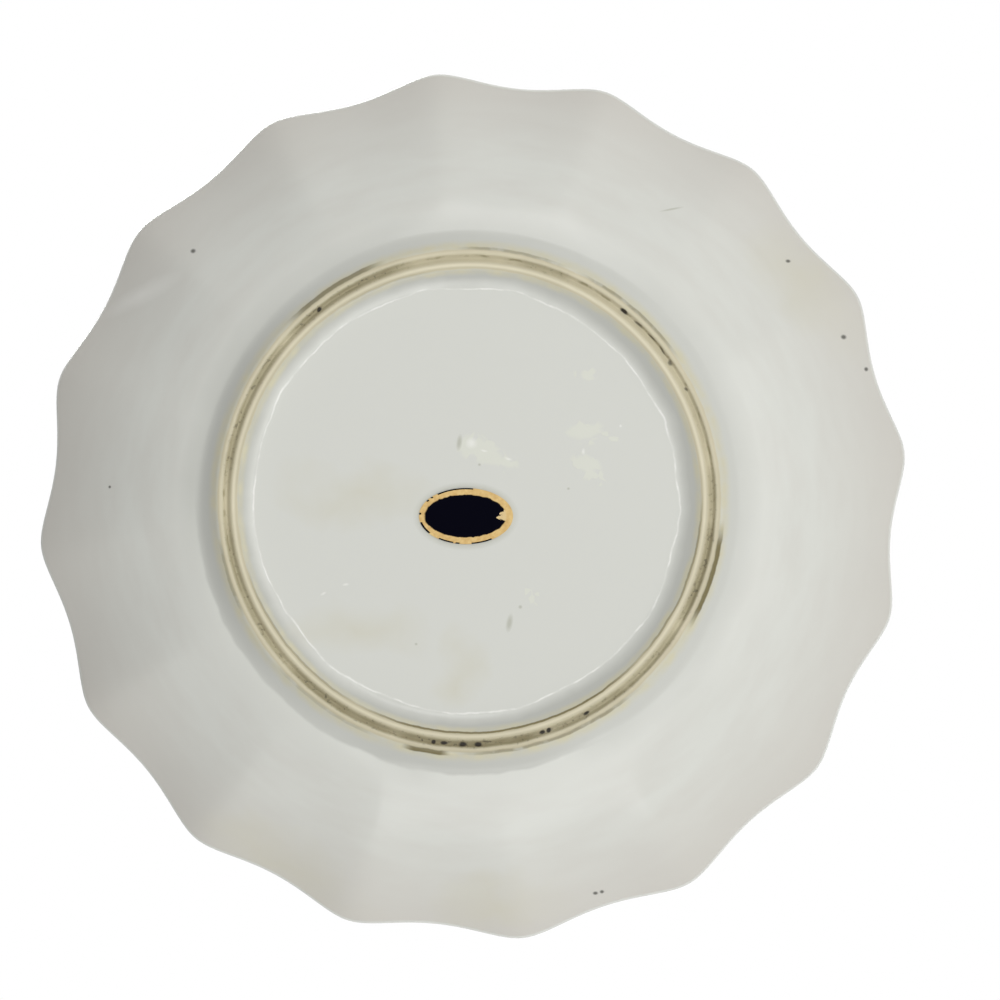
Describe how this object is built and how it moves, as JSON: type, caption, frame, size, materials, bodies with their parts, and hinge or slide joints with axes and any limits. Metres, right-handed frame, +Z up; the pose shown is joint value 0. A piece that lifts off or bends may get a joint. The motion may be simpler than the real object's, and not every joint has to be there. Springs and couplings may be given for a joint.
{
  "type": "scalloped plate",
  "caption": "Glazed porcelain dessert plate with a softly fluted, scalloped rim, standing on a double-ridged foot ring, with a bare oval foil label stuck inside the foot.",
  "frame": {"origin": "on the table, at the centre of the foot ring", "axes": "+Z up along the plate's axis, out of the eating face; +X through a scallop tip"},
  "size_m": [0.19, 0.19, 0.021],
  "materials": {
    "glazed_porcelain": "clear glossy glaze over white porcelain, bare and stained on the foot ring",
    "foil_paper": "embossed gold foil on paper with a dark lacquered oval, worn"
  },
  "bodies": {
    "root": {"plate_body": "glazed_porcelain", "foil_label": "foil_paper"}
  },
  "joints": []
}
